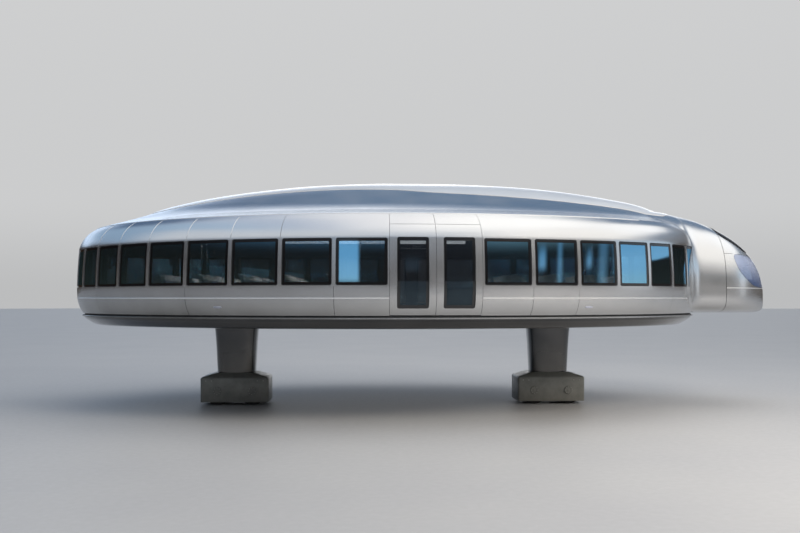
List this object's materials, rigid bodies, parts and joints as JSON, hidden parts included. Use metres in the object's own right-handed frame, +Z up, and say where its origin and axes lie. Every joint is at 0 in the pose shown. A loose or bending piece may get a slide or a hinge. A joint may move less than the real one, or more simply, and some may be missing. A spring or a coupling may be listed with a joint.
{
  "type": "elevated monorail car",
  "caption": "Elevated monorail passenger car: an oval windowed hull with a driver's nose, carried on legs that end in swivelling wheeled feet.",
  "frame": {"origin": "centre of the bounding box on the rail surface under the wheels", "axes": "+X to the nose, +Y to the car's left side, +Z up"},
  "size_m": [17.06, 10.24, 5.496],
  "materials": {
    "silver_paint": "gloss metallic",
    "bright_trim": "satin",
    "dark_gloss": "gloss",
    "foot_metal": "satin paint",
    "window_glass": "tinted",
    "lamp_lens": "clear",
    "tyre_rubber": "matte",
    "wheel_steel": "satin",
    "cabin_plastic": "matte",
    "cabin_floor": "matte",
    "seat_fabric": "woven",
    "rail_steel": "polished",
    "block_metal": "matte"
  },
  "bodies": {
    "car": {"floor_deck": "cabin_floor", "lip_trim": "bright_trim", "belly_pan": "dark_gloss", "power_unit": "block_metal", "wall_rear_right": "silver_paint", "wall_front_right": "silver_paint", "door_header_right": "silver_paint", "door_leaf_rear_right": "silver_paint", "door_leaf_front_right": "silver_paint", "door_glass_rear_right": "window_glass", "door_glass_front_right": "window_glass", "glazing_rear_right": "window_glass", "glazing_front_right": "window_glass", "wall_rear_left": "silver_paint", "wall_front_left": "silver_paint", "door_header_left": "silver_paint", "door_leaf_rear_left": "silver_paint", "door_leaf_front_left": "silver_paint", "door_glass_rear_left": "window_glass", "door_glass_front_left": "window_glass", "glazing_rear_left": "window_glass", "glazing_front_left": "window_glass", "pod_shell": "silver_paint", "nose_cap": "silver_paint", "nose_bumper": "silver_paint", "windscreen": "window_glass", "headlamp_right": "lamp_lens", "headlamp_left": "lamp_lens", "roof_shell": "silver_paint", "ridge_cap": "bright_trim", "ceiling_panel": "cabin_plastic", "seats_rear_right": "seat_fabric", "seats_front_right": "seat_fabric", "grab_rail_right": "rail_steel", "seats_rear_left": "seat_fabric", "seats_front_left": "seat_fabric", "grab_rail_left": "rail_steel", "driver_seat": "seat_fabric", "driver_desk": "block_metal", "leg_front": "dark_gloss", "leg_rear": "dark_gloss"},
    "foot_front": {"foot_front": "foot_metal"},
    "axle_front_1": {"wheelset_front_1": "wheel_steel", "tyre_front_1_right": "tyre_rubber", "tyre_front_1_left": "tyre_rubber"},
    "axle_front_2": {"wheelset_front_2": "wheel_steel", "tyre_front_2_right": "tyre_rubber", "tyre_front_2_left": "tyre_rubber"},
    "foot_rear": {"foot_rear": "foot_metal"},
    "axle_rear_1": {"wheelset_rear_1": "wheel_steel", "tyre_rear_1_right": "tyre_rubber", "tyre_rear_1_left": "tyre_rubber"},
    "axle_rear_2": {"wheelset_rear_2": "wheel_steel", "tyre_rear_2_right": "tyre_rubber", "tyre_rear_2_left": "tyre_rubber"}
  },
  "joints": [
    {"name": "foot_front_swivel", "type": "hinge", "parent": "car", "child": "foot_front", "pos_m": [3.11, 0, 0.79], "axis": [0, 0, 1], "range_deg": [-15, 15]},
    {"name": "axle_front_1_spin", "type": "hinge", "parent": "foot_front", "child": "axle_front_1", "pos_m": [3.535, 0, 0.35], "axis": [0, 1, 0], "continuous": true},
    {"name": "axle_front_2_spin", "type": "hinge", "parent": "foot_front", "child": "axle_front_2", "pos_m": [2.685, 0, 0.35], "axis": [0, 1, 0], "continuous": true},
    {"name": "foot_rear_swivel", "type": "hinge", "parent": "car", "child": "foot_rear", "pos_m": [-4.71, 0, 0.79], "axis": [0, 0, 1], "range_deg": [-15, 15]},
    {"name": "axle_rear_1_spin", "type": "hinge", "parent": "foot_rear", "child": "axle_rear_1", "pos_m": [-4.285, 0, 0.35], "axis": [0, 1, 0], "continuous": true},
    {"name": "axle_rear_2_spin", "type": "hinge", "parent": "foot_rear", "child": "axle_rear_2", "pos_m": [-5.135, 0, 0.35], "axis": [0, 1, 0], "continuous": true}
  ]
}
